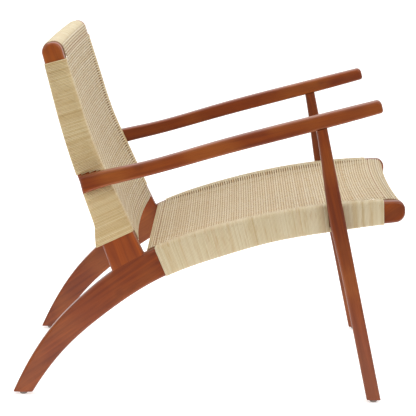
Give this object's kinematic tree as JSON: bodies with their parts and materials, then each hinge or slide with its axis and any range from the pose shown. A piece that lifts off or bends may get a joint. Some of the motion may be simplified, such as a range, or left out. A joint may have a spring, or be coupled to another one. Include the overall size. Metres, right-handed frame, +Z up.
{
  "type": "lounge armchair",
  "caption": "Low wooden lounge armchair with arched seat rails that run on into the rear legs, slanted front legs, slim armrests and a woven cane seat and back.",
  "frame": {"origin": "on the floor under the middle of the chair's bounding box", "axes": "+Z up, the chair faces -Y, -X is the sitter's right"},
  "size_m": [0.629, 0.795, 0.7284],
  "materials": {
    "stained_hardwood": "satin red-brown varnish",
    "cane_strand": "natural matt strand",
    "dowel_beech": "plain",
    "zinc_steel": "zinc plated",
    "insert_brass": "plain",
    "glide_nylon": "matt"
  },
  "bodies": {
    "root": {"right_seat_rail_and_rear_leg": "stained_hardwood", "left_seat_rail_and_rear_leg": "stained_hardwood", "right_back_stile": "stained_hardwood", "left_back_stile": "stained_hardwood", "right_armrest": "stained_hardwood", "left_armrest": "stained_hardwood", "right_front_leg": "stained_hardwood", "left_front_leg": "stained_hardwood", "back_top_rail": "stained_hardwood", "back_lower_rail": "stained_hardwood", "seat_front_rail": "stained_hardwood", "seat_rear_rail": "stained_hardwood", "back_weave": "cane_strand", "seat_weave": "cane_strand", "back_top_rail_wrap": "cane_strand", "back_lower_rail_wrap": "cane_strand", "seat_front_rail_wrap": "cane_strand", "seat_rear_rail_wrap": "cane_strand", "right_stile_wrap": "cane_strand", "left_stile_wrap": "cane_strand", "right_seat_rail_wrap": "cane_strand", "left_seat_rail_wrap": "cane_strand", "stile_dowels": "dowel_beech", "front_leg_dowels": "dowel_beech", "front_leg_bolts": "zinc_steel", "armrest_bolts": "zinc_steel", "front_leg_inserts": "insert_brass", "armrest_inserts": "insert_brass", "right_rear_glide": "glide_nylon", "left_rear_glide": "glide_nylon", "right_front_glide": "glide_nylon", "left_front_glide": "glide_nylon", "glide_nails": "zinc_steel"}
  },
  "joints": []
}
